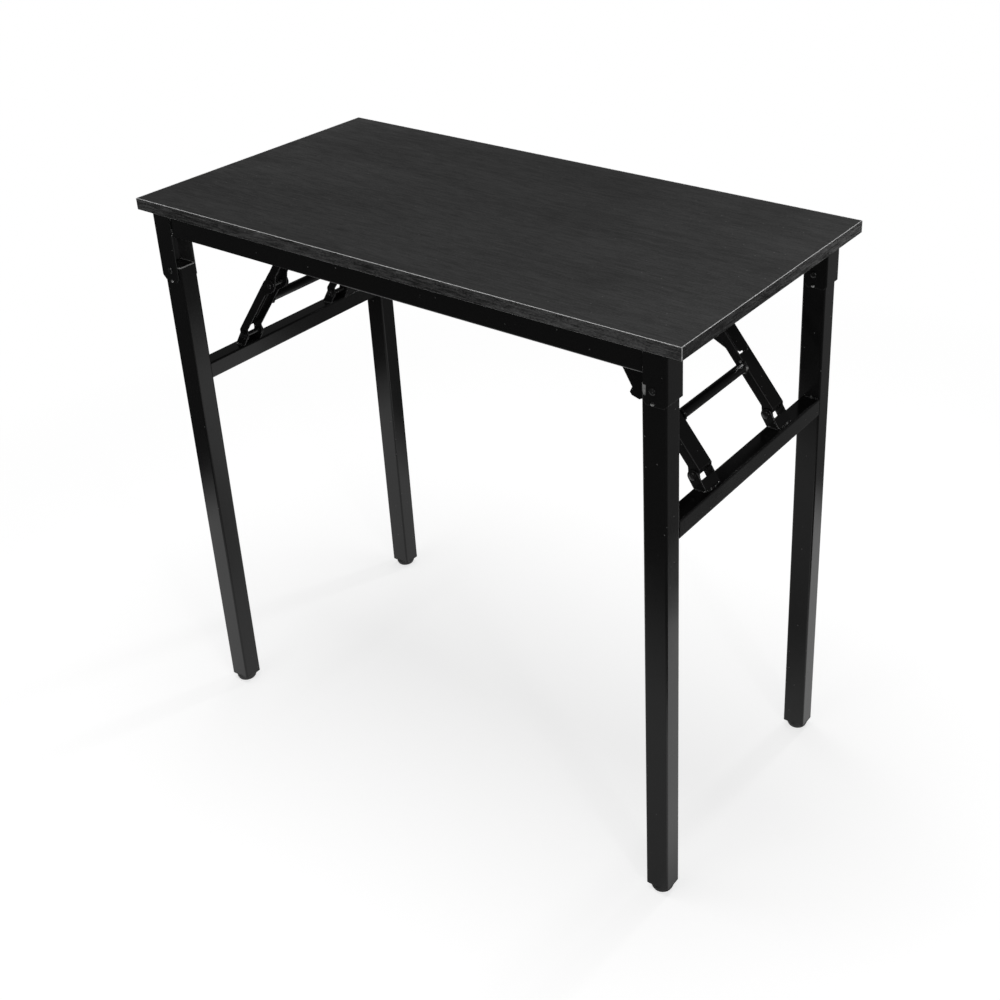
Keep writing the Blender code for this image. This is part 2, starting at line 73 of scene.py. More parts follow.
class Tree:
    """A material's node tree, with short calls for the nodes used here."""

    def __init__(self, name):
        self.material = bpy.data.materials.new(name)
        self.material.use_nodes = True
        self.nodes = self.material.node_tree.nodes
        self.links = self.material.node_tree.links
        self.shader = self.nodes["Principled BSDF"]

    def node(self, kind, **values):
        made = self.nodes.new(kind)
        for key, value in values.items():
            setattr(made, key, value)
        return made

    def put(self, source, target):
        """Links an output, or sets a constant, on an input socket."""
        if isinstance(source, bpy.types.NodeSocket):
            self.links.new(source, target)
        else:
            target.default_value = source

    def coords(self, scale=1.0):
        """Object coordinates, which are the desk's own at rest, times one scale or a scale for each axis."""
        origin = self.node("ShaderNodeTexCoord")
        mapping = self.node("ShaderNodeMapping")
        self.put(origin.outputs["Object"], mapping.inputs["Vector"])
        self.put(scale if isinstance(scale, tuple) else (scale, scale, scale), mapping.inputs["Scale"])
        return mapping.outputs["Vector"]

    def axes(self, vector):
        """The X, Y and Z outputs of a vector."""
        split = self.node("ShaderNodeSeparateXYZ")
        self.put(vector, split.inputs["Vector"])
        return split.outputs

    def place(self):
        """The X, Y and Z of the point in the desk's frame at rest."""
        return self.axes(self.coords())

    def geometry(self, output):
        return self.node("ShaderNodeNewGeometry").outputs[output]

    def noise(self, scale, detail=3.0, rough=0.55, twist=0.0):
        made = self.node("ShaderNodeTexNoise")
        self.put(self.coords(scale), made.inputs["Vector"])
        made.inputs["Scale"].default_value = 1.0
        made.inputs["Detail"].default_value = detail
        made.inputs["Roughness"].default_value = rough
        made.inputs["Distortion"].default_value = twist
        return made.outputs["Fac"]

    def specks(self, scale, spare, core, rim, flat=False):
        """Scattered dots: a share of the cells is spared, and each dot fades from its core to its rim."""
        dots = self.node("ShaderNodeTexVoronoi", voronoi_dimensions="2D" if flat else "3D")
        self.put(self.coords(scale), dots.inputs["Vector"])
        dots.inputs["Scale"].default_value = 1.0
        few = self.ramp(self.axes(dots.outputs["Color"])["X"], spare, spare + SPECK_EDGE)
        return self.product(self.ramp(dots.outputs["Distance"], core, rim, 1.0, 0.0), few)

    def ramp(self, value, low, high, start=0.0, end=1.0):
        """Maps a value from low..high to start..end, held at the ends."""
        made = self.node("ShaderNodeMapRange")
        self.put(value, made.inputs["Value"])
        for key, number in (("From Min", low), ("From Max", high), ("To Min", start), ("To Max", end)):
            self.put(number, made.inputs[key])
        return made.outputs["Result"]

    def math(self, operation, a, b=0.0):
        made = self.node("ShaderNodeMath", operation=operation)
        self.put(a, made.inputs[0])
        self.put(b, made.inputs[1])
        return made.outputs["Value"]

    def product(self, first, *others):
        """Multiplies values."""
        for other in others:
            first = self.math("MULTIPLY", first, other)
        return first

    def blend(self, factor, a, b):
        """Mixes two colours."""
        made = self.node("ShaderNodeMix", data_type="RGBA")
        self.put(factor, made.inputs["Factor"])
        for colour, key in ((a, "A"), (b, "B")):
            socket = next(s for s in made.inputs if s.name == key and s.type == "RGBA")
            self.put(colour if isinstance(colour, bpy.types.NodeSocket) else (*colour, 1.0), socket)
        return next(s for s in made.outputs if s.type == "RGBA")

    def eased(self, radius):
        """Normal with edges eased over a radius, and how far each point is turned by it, 0 on the flats."""
        soft = self.node("ShaderNodeBevel", samples=4)
        soft.inputs["Radius"].default_value = radius
        match = self.node("ShaderNodeVectorMath", operation="DOT_PRODUCT")
        self.put(soft.outputs["Normal"], match.inputs[0])
        self.put(self.geometry("Normal"), match.inputs[1])
        return soft.outputs["Normal"], self.math("SUBTRACT", 1.0, match.outputs["Value"])

    def bump(self, height, strength, distance, normal=None):
        made = self.node("ShaderNodeBump")
        self.put(height, made.inputs["Height"])
        made.inputs["Strength"].default_value = strength
        made.inputs["Distance"].default_value = distance
        if normal:
            self.put(normal, made.inputs["Normal"])
        self.put(made.outputs["Normal"], self.shader.inputs["Normal"])

    def surface(self, colour, roughness, metallic=0.0, specular=0.5):
        self.put(colour, self.shader.inputs["Base Color"])
        self.put(roughness, self.shader.inputs["Roughness"])
        self.put(metallic, self.shader.inputs["Metallic"])
        self.put(specular, self.shader.inputs["Specular IOR Level"])
        return self.material


# Wood print of the board and its edge bands. Grain scales are across and along the grain.

GRAIN_BANDS = (34.0, 4.0)
GRAIN_STREAKS = (430.0, 42.0)
GRAIN_PORES = (1100.0, 330.0)
GRAIN_SHARES = (0.17, 0.43, 0.40)
PRINT_CLEAN = (grey(0.0085), grey(0.031))
PRINT_LIGHTER = (grey(0.019), grey(0.048))
PRINT_SPECK = grey(0.16)
PRINT_SPECKS = (75.0, 0.92, 0.03, 0.07)
PRINT_ROUGH = (0.58, 0.44)
CLEAN_SPAN = (0.40, 0.60)
LIGHTER_SPAN = (0.42, 0.58)
WEAR_SCALE = 6.0
WEAR_LIGHTEN = (0.4, 1.0)
WEAR_SPECKS = (0.35, 1.0)
WEAR_ROUGH = (-0.04, 0.04)
# How the print lightens towards its ends, and, as painted sheen, towards the back.
LIGHTEN_START = 0.12
LIGHTEN_MOST = 0.8
SHEEN_FRONT_REAR = (0.45, 1.45)
BAND_DARK = grey(0.005)
# Pale colours of the cut edges, a painted highlight:
BAND_EDGE_HIGHLIGHT = (grey(0.34), grey(0.62))
BAND_SPAN = (0.43, 0.60)
BAND_ROUGH = (0.58, 0.42)
BAND_SPECK_SCALE = 300.0
BAND_FACING = 0.9


def grain(tree, along):
    """Wood grain running along an axis: soft bands, short streaks and fine pores, as one value about 0.5."""
    def stretched(fine, slow):
        return tuple(slow if axis == along else fine for axis in "XYZ")
    bands = tree.noise(stretched(*GRAIN_BANDS), detail=3.0, rough=0.5, twist=0.6)
    streaks = tree.noise(stretched(*GRAIN_STREAKS), detail=3.0, rough=0.65, twist=0.3)
    pores = tree.noise(stretched(*GRAIN_PORES), detail=2.0, rough=0.6)
    parts = [tree.product(part, share) for part, share in zip((bands, streaks, pores), GRAIN_SHARES)]
    return tree.math("ADD", tree.math("ADD", parts[0], parts[1]), parts[2])


def laminate():
    """Dark wood-print laminate, lighter towards its two ends, and more so towards the back as painted sheen.
    """
    tree = Tree("laminate")
    figure = grain(tree, "X")
    wear = tree.noise(WEAR_SCALE)
    place = tree.place()
    ends = tree.ramp(tree.math("ABSOLUTE", place["X"]), LIGHTEN_START, HALF_WIDTH, 0.0, LIGHTEN_MOST)
    # Painted sheen: the lightening of the print grows towards the back.
    rearward_sheen = tree.ramp(place["Y"], -HALF_DEPTH, HALF_DEPTH, *SHEEN_FRONT_REAR)
    # dust is the mask that lightens the print towards its ends and, as painted sheen, towards the back.
    dust = tree.product(ends, rearward_sheen, tree.ramp(wear, *NOISE_SPAN, *WEAR_LIGHTEN))
    clean = tree.blend(tree.ramp(figure, *CLEAN_SPAN), *PRINT_CLEAN)
    lighter_print = tree.blend(tree.ramp(figure, *LIGHTER_SPAN), *PRINT_LIGHTER)
    specks = tree.specks(*PRINT_SPECKS, flat=True)
    specks = tree.product(specks, tree.ramp(dust, 0.0, LIGHTEN_MOST, *WEAR_SPECKS))
    colour = tree.blend(specks, tree.blend(dust, clean, lighter_print), PRINT_SPECK)
    uneven = tree.ramp(wear, *NOISE_SPAN, *WEAR_ROUGH)
    rough = tree.math("ADD", tree.ramp(figure, *FIGURE_SPAN, *PRINT_ROUGH), uneven)
    tree.bump(figure, strength=0.35, distance=0.0004)
    return tree.surface(colour, rough, specular=0.30)


def edge_band(name, face, along, light, sheen_low_end=1.0):
    """Grained edge strip; its cut edges, which face other ways than the strip does, are pale: a painted
    highlight.

    light is the level of the print's bright parts, and the last argument is the share of it at the strip's
    low end; the print's rise from there to the high end is painted sheen.
    """
    tree = Tree(name)
    figure = grain(tree, along)
    # Painted sheen: the print lightens from the strip's low end to its high end.
    share = tree.ramp(tree.place()[along], -HALF_DEPTH, HALF_DEPTH, sheen_low_end, 1.0)
    printed = tree.blend(tree.product(tree.ramp(figure, *BAND_SPAN), share), BAND_DARK, grey(light))
    # The pale cut edges are a painted highlight.
    facing = tree.math("ABSOLUTE", tree.axes(tree.geometry("True Normal"))[face])
    speck = tree.noise(BAND_SPECK_SCALE, detail=2.0)
    pale = tree.blend(tree.ramp(speck, *NOISE_SPAN), *BAND_EDGE_HIGHLIGHT)
    colour = tree.blend(tree.math("GREATER_THAN", facing, BAND_FACING), pale, printed)
    tree.bump(figure, strength=0.3, distance=0.0003)
    return tree.surface(colour, tree.ramp(figure, *FIGURE_SPAN, *BAND_ROUGH), specular=0.4)


# Powder coat. STRIP_FADES says how softly a bare strip ends: left, right, bottom and top. LIP_FADE is how far
# below a leg's upper end its pale metal rim starts and is full.

COAT = grey(0.0085)
COAT_SPECK = (0.14, 0.14, 0.138)
COAT_RUBBED = grey(0.030)
# Painted fill light of a bracket's hollow:
HOLLOW_LIGHT_COLOUR = grey(0.055)
COAT_WORN = (0.66, 0.66, 0.65)
COAT_SHINE = 0.34
PEEL_SCALE = 900.0
CLOUD_SCALE = 16.0
CHIP_SCALE = 120.0
COAT_SPECKS = (85.0, 0.45, 0.04, 0.09)
SPECK_SHARE = 0.9
SPECK_ROUGH = 0.3
RUBBED_SPAN = (0.02, 0.15)
RUBBED_CHIPS = (0.42, 0.62, 0.15, 0.9)
WORN_CHIPS = (0.38, 0.52, 0.25, 0.95)
WORN_METAL = 0.6
WORN_ROUGH = 0.15
HOLLOW_LIGHT_CHIPS = (0.35, 0.65, 0.75, 1.0)
PEEL_DEPTH = 0.0002
STRIP_FADES = (0.0002, 0.0012, 0.0035, 0.0010)
LIP_FADE = (0.0016, 0.0010)


def worn_strip(tree, place, chips, bare):
    """How far the coat is worn off on an upright strip."""
    left, right, low, high = bare
    fade_left, fade_right, fade_low, fade_high = STRIP_FADES
    return tree.product(
        tree.ramp(chips, *WORN_CHIPS),
        tree.ramp(place["X"], left - fade_left, left),
        tree.ramp(place["X"], right - fade_right, right, 1.0, 0.0),
        tree.ramp(place["Z"], low, low + fade_low),
        tree.ramp(place["Z"], high - fade_high, high, 1.0, 0.0),
    )


def painted_hollow_light(tree, place, chips, inside):
    """How far the faces inside a bracket's hollow are lightened: painted fill light."""
    thin = tree.ramp(chips, *HOLLOW_LIGHT_CHIPS)
    for axis, start, end in (("X", *inside[:2]), ("Y", *inside[2:])):
        reach = tree.math("ABSOLUTE", place[axis])
        thin = tree.product(thin, tree.math("GREATER_THAN", reach, start), tree.math("LESS_THAN", reach, end))
    return thin


def coated_steel(name, ease=0.0009, gloss=(0.12, 0.20), peel=0.10, bare=None, lip=None, inside=None):
    """Black powder coat: fine orange peel, uneven gloss, dust specks and paint rubbed thin along the edges.

    ease is the radius of the edges, gloss the span of the roughness, peel the strength of the orange peel.
    bare is an upright strip worn to metal: (x from, x to, z from, z to).
    lip is the z of a leg's upper end, which gets a pale metal rim.
    inside is a bracket's hollow, whose faces are lightened as painted fill light: (|x| from, |x| to, |y|
    from, |y| to).
    """
    tree = Tree(name)
    normal, turned = tree.eased(ease)
    cloud = tree.noise(CLOUD_SCALE, detail=4.0)
    chips = tree.noise(CHIP_SCALE, detail=4.0, rough=0.7)
    place = tree.place()
    specks = tree.product(tree.specks(*COAT_SPECKS), SPECK_SHARE)
    rubbed = tree.product(tree.ramp(turned, *RUBBED_SPAN), tree.ramp(chips, *RUBBED_CHIPS))
    colour = tree.blend(rubbed, tree.blend(specks, COAT, COAT_SPECK), COAT_RUBBED)
    rough = tree.math("ADD", tree.ramp(cloud, *NOISE_SPAN, *gloss), tree.product(specks, SPECK_ROUGH))
    metal = 0.0
    worn = worn_strip(tree, place, chips, bare) if bare else None
    if lip:
        rim = tree.ramp(place["Z"], lip - LIP_FADE[0], lip - LIP_FADE[1])
        worn = tree.math("MAXIMUM", worn, rim) if worn else rim
    if worn:
        colour = tree.blend(worn, colour, COAT_WORN)
        metal = tree.product(worn, WORN_METAL)
        rough = tree.math("ADD", rough, tree.product(worn, WORN_ROUGH))
    if inside:
        # Painted fill light: the hollow's inner faces are lightened in patches.
        colour = tree.blend(painted_hollow_light(tree, place, chips, inside), colour, HOLLOW_LIGHT_COLOUR)
    tree.bump(tree.noise(PEEL_SCALE, detail=2.0), peel, PEEL_DEPTH, normal)
    return tree.surface(colour, rough, metal, COAT_SHINE)


# Small metal, plastic and welds

PLATED_COLOURS = (grey(0.012), (0.30, 0.295, 0.29))
PLATED_BRUSH = (1400.0, 200.0, 1400.0)
PLATED_CLOUD = 420.0
PLATED_PATCHES = (0.62, 0.70, 0.0, 0.8)
PLATED_EDGES = (0.05, 0.25, 0.0, 0.06)
PLATED_ROUGH = (0.16, 0.30)
PLATED_METAL = (0.1, 0.9)
BRIGHT_COLOURS = ((0.35, 0.35, 0.34), (0.72, 0.72, 0.71))
# Dark colour of the painted shade on the studs' upper side:
BRIGHT_SHADE_COLOUR = grey(0.012)
BRIGHT_SCRATCH = (1800.0, 300.0, 1800.0)
BRIGHT_DULL = 600.0
BRIGHT_LEAN = (-0.1, 0.1)
BRIGHT_SHADE_SPAN = (0.10, 0.25)
BRIGHT_ROUGH = (0.22, 0.40)
BRIGHT_METAL = (0.75, 0.0)
PLASTIC_COLOURS = (grey(0.009), (0.040, 0.039, 0.038))
PLASTIC_SPARK = 1500.0
PLASTIC_SCUFF = (170.0, 170.0, 420.0)
PLASTIC_PATCHES = (0.55, 0.75, 0.0, 0.6)
PLASTIC_EDGES = (0.02, 0.15, 0.0, 0.5)
PLASTIC_ROUGH = (0.42, 0.60)
WELD_COLOURS = (grey(0.007), grey(0.020))
# Painted glints on the weld beads:
WELD_GLINT_COLOUR = (0.62, 0.62, 0.61)
WELD_RIPPLE = 700.0
WELD_GLINT_SCALE = 230.0
WELD_GLINT_SPAN = (0.56, 0.63)
WELD_ROUGH = (0.12, 0.30)
WELD_METAL = 0.7


def plated_steel():
    """Black zinc on pins and rivets: dull patches, and metal showing where the heads are rubbed."""
    tree = Tree("plated_steel")
    normal, turned = tree.eased(radius=0.0005)
    cloud = tree.noise(PLATED_CLOUD)
    patches = tree.ramp(cloud, *PLATED_PATCHES)
    rubbed = tree.math("MAXIMUM", patches, tree.ramp(turned, *PLATED_EDGES))
    tree.bump(tree.noise(PLATED_BRUSH, detail=2.0), strength=0.15, distance=0.0001, normal=normal)
    rough = tree.ramp(cloud, *NOISE_SPAN, *PLATED_ROUGH)
    metal = tree.ramp(rubbed, 0.0, 1.0, *PLATED_METAL)
    return tree.surface(tree.blend(rubbed, *PLATED_COLOURS), rough, metal)


def bright_steel():
    """Bare steel of the small studs, with fine scratches and dull spots; the upper side is darkened as
    painted shade, leaving a bright crescent below.
    """
    tree = Tree("bright_steel")
    dull = tree.noise(BRIGHT_DULL)
    # Painted shade: the upward-facing side is darkened, judged by its normal.
    lean = tree.axes(tree.geometry("Normal"))["Z"]
    lean = tree.math("ADD", lean, tree.ramp(dull, *NOISE_SPAN, *BRIGHT_LEAN))
    paint = tree.ramp(lean, *BRIGHT_SHADE_SPAN)
    colour = tree.blend(tree.ramp(dull, *FIGURE_SPAN), *BRIGHT_COLOURS)
    tree.bump(tree.noise(BRIGHT_SCRATCH, detail=2.0), strength=0.2, distance=0.0001)
    rough = tree.ramp(dull, *NOISE_SPAN, *BRIGHT_ROUGH)
    metal = tree.ramp(paint, 0.0, 1.0, *BRIGHT_METAL)
    return tree.surface(tree.blend(paint, colour, BRIGHT_SHADE_COLOUR), rough, metal)


def black_plastic():
    """Moulded plastic: spark-eroded texture, scuffed in patches and along its edges."""
    tree = Tree("black_plastic")
    normal, turned = tree.eased(radius=0.0006)
    scuff = tree.noise(PLASTIC_SCUFF, detail=4.0, rough=0.7)
    patches = tree.ramp(scuff, *PLASTIC_PATCHES)
    worn = tree.math("MAXIMUM", patches, tree.ramp(turned, *PLASTIC_EDGES))
    tree.bump(tree.noise(PLASTIC_SPARK), strength=0.3, distance=0.0002, normal=normal)
    rough = tree.ramp(scuff, *NOISE_SPAN, *PLASTIC_ROUGH)
    return tree.surface(tree.blend(worn, *PLASTIC_COLOURS), rough)


def weld_metal():
    """Weld bead: ripples under glossy paint, with painted glints: a few bright bare-metal spots."""
    tree = Tree("weld_bead")
    ripple = tree.noise(WELD_RIPPLE)
    # Painted glints: bright bare-metal spots scattered over the beads.
    painted_glints = tree.ramp(tree.noise(WELD_GLINT_SCALE, detail=2.0), *WELD_GLINT_SPAN)
    paint = tree.blend(tree.ramp(ripple, *FIGURE_SPAN), *WELD_COLOURS)
    tree.bump(ripple, strength=0.6, distance=0.0005)
    rough = tree.ramp(ripple, *NOISE_SPAN, *WELD_ROUGH)
    return tree.surface(tree.blend(painted_glints, paint, WELD_GLINT_COLOUR), rough, tree.product(painted_glints, WELD_METAL))


# Looks of the CAD nodes. A leg's bare strip and a bracket's bare edge are on the right side only.

SHEET_WALL = 0.002
CHEEK_REACH = 0.0295
BARE_STRIP_WIDTH = 0.0036
BARE_STRIP_DROP = 0.011
BARE_STRIP_RISE = 0.001
BARE_EDGE_WIDTH = 0.0042
BARE_EDGE_FROM_RAIL = (-0.0227, -0.0101)

STEEL = coated_steel("coated_steel")
SHEET = coated_steel("coated_sheet", ease=0.0016, gloss=(0.17, 0.27))
BAR = coated_steel("coated_bar", ease=0.0035, gloss=(0.17, 0.23), peel=0.015)
PLATED = plated_steel()
BRIGHT = bright_steel()
PLASTIC = black_plastic()
WELD = weld_metal()
# The short bands are a lighter copy of the same band, painted light on the board's ends, and their rise
# towards the back is painted sheen.
LONG_BAND = edge_band("edge_band_long", face="Y", along="X", light=0.125)
SHORT_BAND = edge_band("edge_band_short", face="X", along="Y", light=0.28, sheen_low_end=0.21)
LOOKS = {
    "desktop_board": laminate(),
    "edge_band_front": LONG_BAND,
    "edge_band_rear": LONG_BAND,
    "edge_band_left": SHORT_BAND,
    "edge_band_right": SHORT_BAND,
    "left_pull_bar": BAR,
    "right_pull_bar": BAR,
}
ENDINGS = (
    (("_saddle_pin", "_knee_bush", "_top_hinge_rod", "_leg_pivot_rivet"), PLATED),
    (("_end_plug", "_glide"), PLASTIC),
    (("_brace", "_brace_saddle", "_top_hinge"), SHEET),
)
SHELLS = {}


def inner_outer(low, high, sign):
    """The x of a box on the desk's inner side and on its outer side."""
    return (low.x, high.x) if sign > 0 else (high.x, low.x)


for side, sign in SIDES.items():
    low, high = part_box(f"front_{side}_leg")
    strip = (low.x, low.x + BARE_STRIP_WIDTH, high.z - BARE_STRIP_DROP, high.z + BARE_STRIP_RISE)
    head = coated_steel(f"coated_leg_{side}", bare=strip if side == "right" else None, lip=high.z)
    low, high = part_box(f"rear_{side}_corner_bracket")
    outer = abs(inner_outer(low, high, sign)[1])
    edge = outer - CHEEK_REACH
    # hollow is the bracket's inner space, whose faces get painted fill light.
    hollow = (edge, outer - SHEET_WALL / 2, low.y + SHEET_WALL / 2, high.y - SHEET_WALL / 2)
    SHELLS[side] = coated_steel(f"coated_bracket_{side}", inside=hollow)
    for end in ENDS:
        LOOKS[f"{end}_{side}_leg"] = head
        LOOKS[f"{end}_{side}_corner_bracket"] = SHELLS[side]
    if side == "right":
        rail_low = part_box("front_rail")[0]
        cheek = (edge, edge + BARE_EDGE_WIDTH, *(rail_low.z + step for step in BARE_EDGE_FROM_RAIL))
        LOOKS["front_right_corner_bracket"] = coated_steel("coated_bracket_worn", bare=cheek, inside=hollow)

for name, thing in nodes.items():
    look = LOOKS.get(name, STEEL)
    for endings, kind in ENDINGS:
        if name.endswith(endings):
            look = kind
    thing.data.materials.clear()
    thing.data.materials.append(look)


# Shapes of the small pieces

SHARP_EDGE = math.radians(50)
UPRIGHT = 0.9
RECESS_SHARE = 0.7
RIPPLE_WAVES = 9
DOME_WALL = 0.25
DOME_ANGLES = (0.4, 0.8, 1.15, 1.4)
BEAD_SIDES = 8
BEAD_STEP = 0.0006
BEAD_FEWEST = 8
BEAD_PITCH = 0.0022
BEAD_WAVE = 0.16
BEAD_TIP = 0.02
BEAD_TAPER = 0.25
LID_STEPS = 32
LID_CORNER = 0.2
LID_PROFILE = ((0.0, 1.0), (0.0, 0.3), (0.25, 0.1), (0.6, 0.0))


def keep(bm, name, body, look):
    """Turns a bmesh in the desk's frame into a piece of a body."""
    bmesh.ops.recalc_face_normals(bm, faces=bm.faces)
    mesh = bpy.data.meshes.new(name)
    bm.to_mesh(mesh)
    bm.free()
    for polygon in mesh.polygons:
        polygon.use_smooth = True
    mesh.set_sharp_from_angle(angle=SHARP_EDGE)
    mesh.materials.append(look)
    thing = bpy.data.objects.new(name, mesh)
    bpy.context.scene.collection.objects.link(thing)
    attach(thing, body)


def skin(bm, rows):
    """Closes rings of vertices to a solid: walls from ring to ring, and a face on the first and the last."""
    count = len(rows[0])
    for low, high in zip(rows, rows[1:]):
        for i in range(count):
            j = (i + 1) % count
            bm.faces.new((low[i], low[j], high[j], high[i]))
    bm.faces.new(rows[0])
    bm.faces.new(rows[-1])


def revolve(bm, centre, direction, profile, steps=24, groove=0.0, ripple=0.0):
    """Adds a closed round solid: profile is (radius, level) along the direction, both ends closed flat.

    groove sinks every quarter-turn point of the inner rings, which makes a cross recess. ripple makes the
    radius uneven round the turn, as on a weld.
    """
    axis = Vector(direction).normalized()
    other = Vector((0, 0, 1)) if abs(axis.z) < UPRIGHT else Vector((1, 0, 0))
    side = axis.cross(other).normalized()
    up = axis.cross(side)
    widest = max(radius for radius, level in profile)
    rows = []
    for radius, level in profile:
        row = []
        for i in range(steps):
            turn = 2 * math.pi * i / steps
            reach = radius * (1.0 + ripple * math.sin(RIPPLE_WAVES * turn))
            offset = side * (reach * math.cos(turn)) + up * (reach * math.sin(turn))
            sink = groove if radius < RECESS_SHARE * widest and i % (steps // 4) == 0 else 0.0
            row.append(bm.verts.new(Vector(centre) + axis * (level - sink) + offset))
        rows.append(row)
    skin(bm, rows)


def dome(bm, centre, direction, radius, rise):
    """A rivet head standing on a face: a low wall and a bulge."""
    wall = DOME_WALL * rise
    profile = [(radius, 0.0), (radius, wall)]
    profile += [(radius * math.cos(t), wall + (rise - wall) * math.sin(t)) for t in DOME_ANGLES]
    revolve(bm, centre, direction, profile)


def bead(bm, start, end, out, width, rise):
    """A rippled weld bead along a corner between two faces, bulging towards a direction."""
    start, end = Vector(start), Vector(end)
    run = end - start
    out = Vector(out).normalized()
    across = run.normalized().cross(out)
    count = max(BEAD_FEWEST, int(run.length / BEAD_STEP))
    rows = []
    for i in range(count + 1):
        share = i / count
        taper = math.sin(math.pi * min(max(share, BEAD_TIP), 1.0 - BEAD_TIP)) ** BEAD_TAPER
        wave = 1.0 + BEAD_WAVE * math.sin(2 * math.pi * run.length * share / BEAD_PITCH)
        row = []
        for k in range(BEAD_SIDES):
            turn = 2 * math.pi * k / BEAD_SIDES
            spread = across * (0.5 * width * taper * wave * math.cos(turn))
            bulge = out * (rise * taper * wave * math.sin(turn))
            row.append(bm.verts.new(start + run * share + spread + bulge))
        rows.append(row)
    skin(bm, rows)


def lid(bm, span_x, span_y, top, thick):
    """A thin plate with round corners and a slightly crowned, eased upper face.

    Its profile is (inset, drop), in shares of the corner's radius and of the thickness.
    """
    middle = Vector((sum(span_x) / 2, sum(span_y) / 2, top))
    half = Vector((abs(span_x[1] - span_x[0]) / 2, abs(span_y[1] - span_y[0]) / 2, 0.0))
    corner = LID_CORNER * half.y
    rows = []
    for inset, drop in LID_PROFILE:
        reach = corner - inset * corner
        row = []
        for step in range(LID_STEPS):
            angle = 2 * math.pi * (step + 0.5) / LID_STEPS
            way = Vector((math.copysign(1, math.cos(angle)), math.copysign(1, math.sin(angle)), 0.0))
            core = Vector((way.x * (half.x - corner), way.y * (half.y - corner), -drop * thick))
            rim = Vector((reach * math.cos(angle), reach * math.sin(angle), 0.0))
            row.append(bm.verts.new(middle + core + rim))
        rows.append(row)
    skin(bm, rows)


# Small pieces that ride on the CAD bodies. Rivets and studs are (radius, rise), welds (width, rise).

KNEE_RIVET = (0.0036, 0.0016)
CHEEK_STUD = (0.0023, 0.0016)
STUD_DROP = 0.0143
CROSSBAR_WELD = (0.0048, 0.0017)
CROSSBAR_WELD_OFF = 0.0006
CROSSBAR_WELD_INSET = 0.002
SADDLE_WELD = (0.0036, 0.0013)
SADDLE_WELD_LIFT = 0.0002
SADDLE_HEEL_INSET = 0.0012
SADDLE_TOE_INSET = 0.0015
SADDLE_SIDE_INSET = 0.002
TACK_WELD = (0.0040, 0.0014)
TACK_LOW = (0.002, 0.011)
TACK_HIGH = (0.010, 0.002)
RING_WELD = ((0.0022, 0.0), (0.0022, 0.0006), (0.0017, 0.0014), (0.0008, 0.0022), (-0.0006, 0.0026))
RING_STEPS = 32
RING_RIPPLE = 0.05
HEAD_WALL = 0.0016
HEAD_CUT = 0.0058
HEAD_SUNK = 0.0004
HEAD_PLATE = 0.0012
SCREW_PLACES = (-0.26, 0.0, 0.26)
SCREW_HEAD = ((0.0036, 0.0), (0.0036, 0.00015), (0.0033, 0.0003), (0.0021, 0.00032), (0.0006, 0.00032))
SCREW_STEPS = 24
SCREW_RECESS = 0.0002


def middle_of(name):
    """The middle of a CAD node's box."""
    low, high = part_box(name)
    return (low + high) / 2


def crossbar_welds(bm, side, sign):
    """Beads at both ends of a crossbar: above, below and on the inner side."""
    low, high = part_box(f"{side}_crossbar")
    inner, outer = inner_outer(low, high, sign)
    inset = CROSSBAR_WELD_INSET
    for y, face in ((low.y, 1), (high.y, -1)):
        near = y + CROSSBAR_WELD_OFF * face
        first, last = inner + inset * sign, outer - inset * sign
        for z, tilt in ((high.z, 1), (low.z, -1)):
            bead(bm, (first, near, z), (last, near, z), (0, face, tilt), *CROSSBAR_WELD)
        upper, lower = (inner, near, high.z - inset), (inner, near, low.z + inset)
        bead(bm, upper, lower, (-sign, face, 0), *CROSSBAR_WELD)


def saddle_welds(bm, end, side, sign):
    """Beads round the foot of a brace saddle, on both flanks and at the toe."""
    bar_low, bar_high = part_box(f"{side}_crossbar")
    low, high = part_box(f"{end}_{side}_brace_saddle")
    toe = inner_outer(low, high, sign)[1]
    heel = inner_outer(bar_low, bar_high, sign)[0] + sign * SADDLE_HEEL_INSET
    ground = bar_high.z + SADDLE_WELD_LIFT
    for y, face in ((high.y, 1), (low.y, -1)):
        tip = toe - sign * SADDLE_TOE_INSET
        bead(bm, (heel, y, ground), (tip, y, ground), (0, face, 1), *SADDLE_WELD)
    first, last = low.y + SADDLE_SIDE_INSET, high.y - SADDLE_SIDE_INSET
    bead(bm, (toe, first, ground), (toe, last, ground), (sign, 0, 1), *SADDLE_WELD)


def knee_rivet(bm, end, side):
    """Rivet heads on both flanks of a lower brace, at the knee."""
    low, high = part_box(f"{end}_{side}_lower_brace")
    knee = middle_of(f"{end}_{side}_knee_bush")
    for y, face in ((high.y, 1), (low.y, -1)):
        dome(bm, (knee.x, y, knee.z), (0, face, 0), *KNEE_RIVET)


def pull_bar_welds(bm, side):
    """Ring welds where a pull bar meets the braces."""
    low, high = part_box(f"{side}_pull_bar")
    bar = middle_of(f"{side}_pull_bar")
    profile = [(high.z - bar.z + rise, level) for rise, level in RING_WELD]
    for y, face in ((low.y, 1), (high.y, -1)):
        revolve(bm, (bar.x, y, bar.z), (0, face, 0), profile, RING_STEPS, ripple=RING_RIPPLE)


def head_plate(bm, end, side, sign):
    """The thin plate that closes a leg's upper end."""
    low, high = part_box(f"{end}_{side}_leg")
    inner, outer = inner_outer(low, high, sign)
    span_x = (inner + sign * HEAD_WALL, outer - sign * HEAD_CUT)
    lid(bm, span_x, (low.y + HEAD_WALL, high.y - HEAD_WALL), high.z - HEAD_SUNK, HEAD_PLATE)


